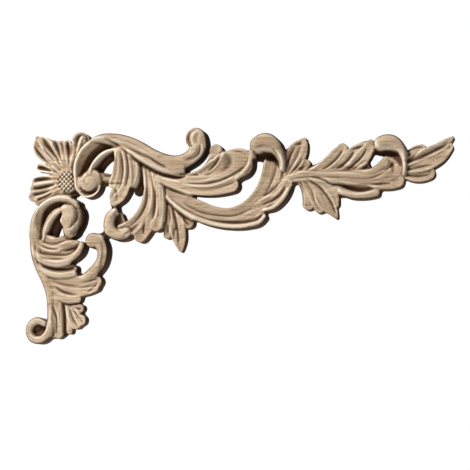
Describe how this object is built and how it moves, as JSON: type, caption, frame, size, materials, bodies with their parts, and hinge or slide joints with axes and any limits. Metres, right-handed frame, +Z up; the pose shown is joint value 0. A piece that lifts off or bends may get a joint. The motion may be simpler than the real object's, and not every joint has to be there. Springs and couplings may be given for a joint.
{
  "type": "carved wooden corner onlay",
  "caption": "L-shaped carved wood onlay for a corner: a flower in the angle, pierced scrolls and leaves along both arms, flat back for gluing.",
  "frame": {"origin": "on the flat back, behind the heart of the rosette in the corner", "axes": "+X along the long arm, +Z up with the short arm hanging along -Z, carved face to -Y, flat back facing +Y in the plane Y = 0"},
  "size_m": [0.2001, 0.0099, 0.1002],
  "materials": {
    "carved_wood": "unfinished, sanded after carving"
  },
  "bodies": {
    "root": {"corner_onlay": "carved_wood"}
  },
  "joints": []
}
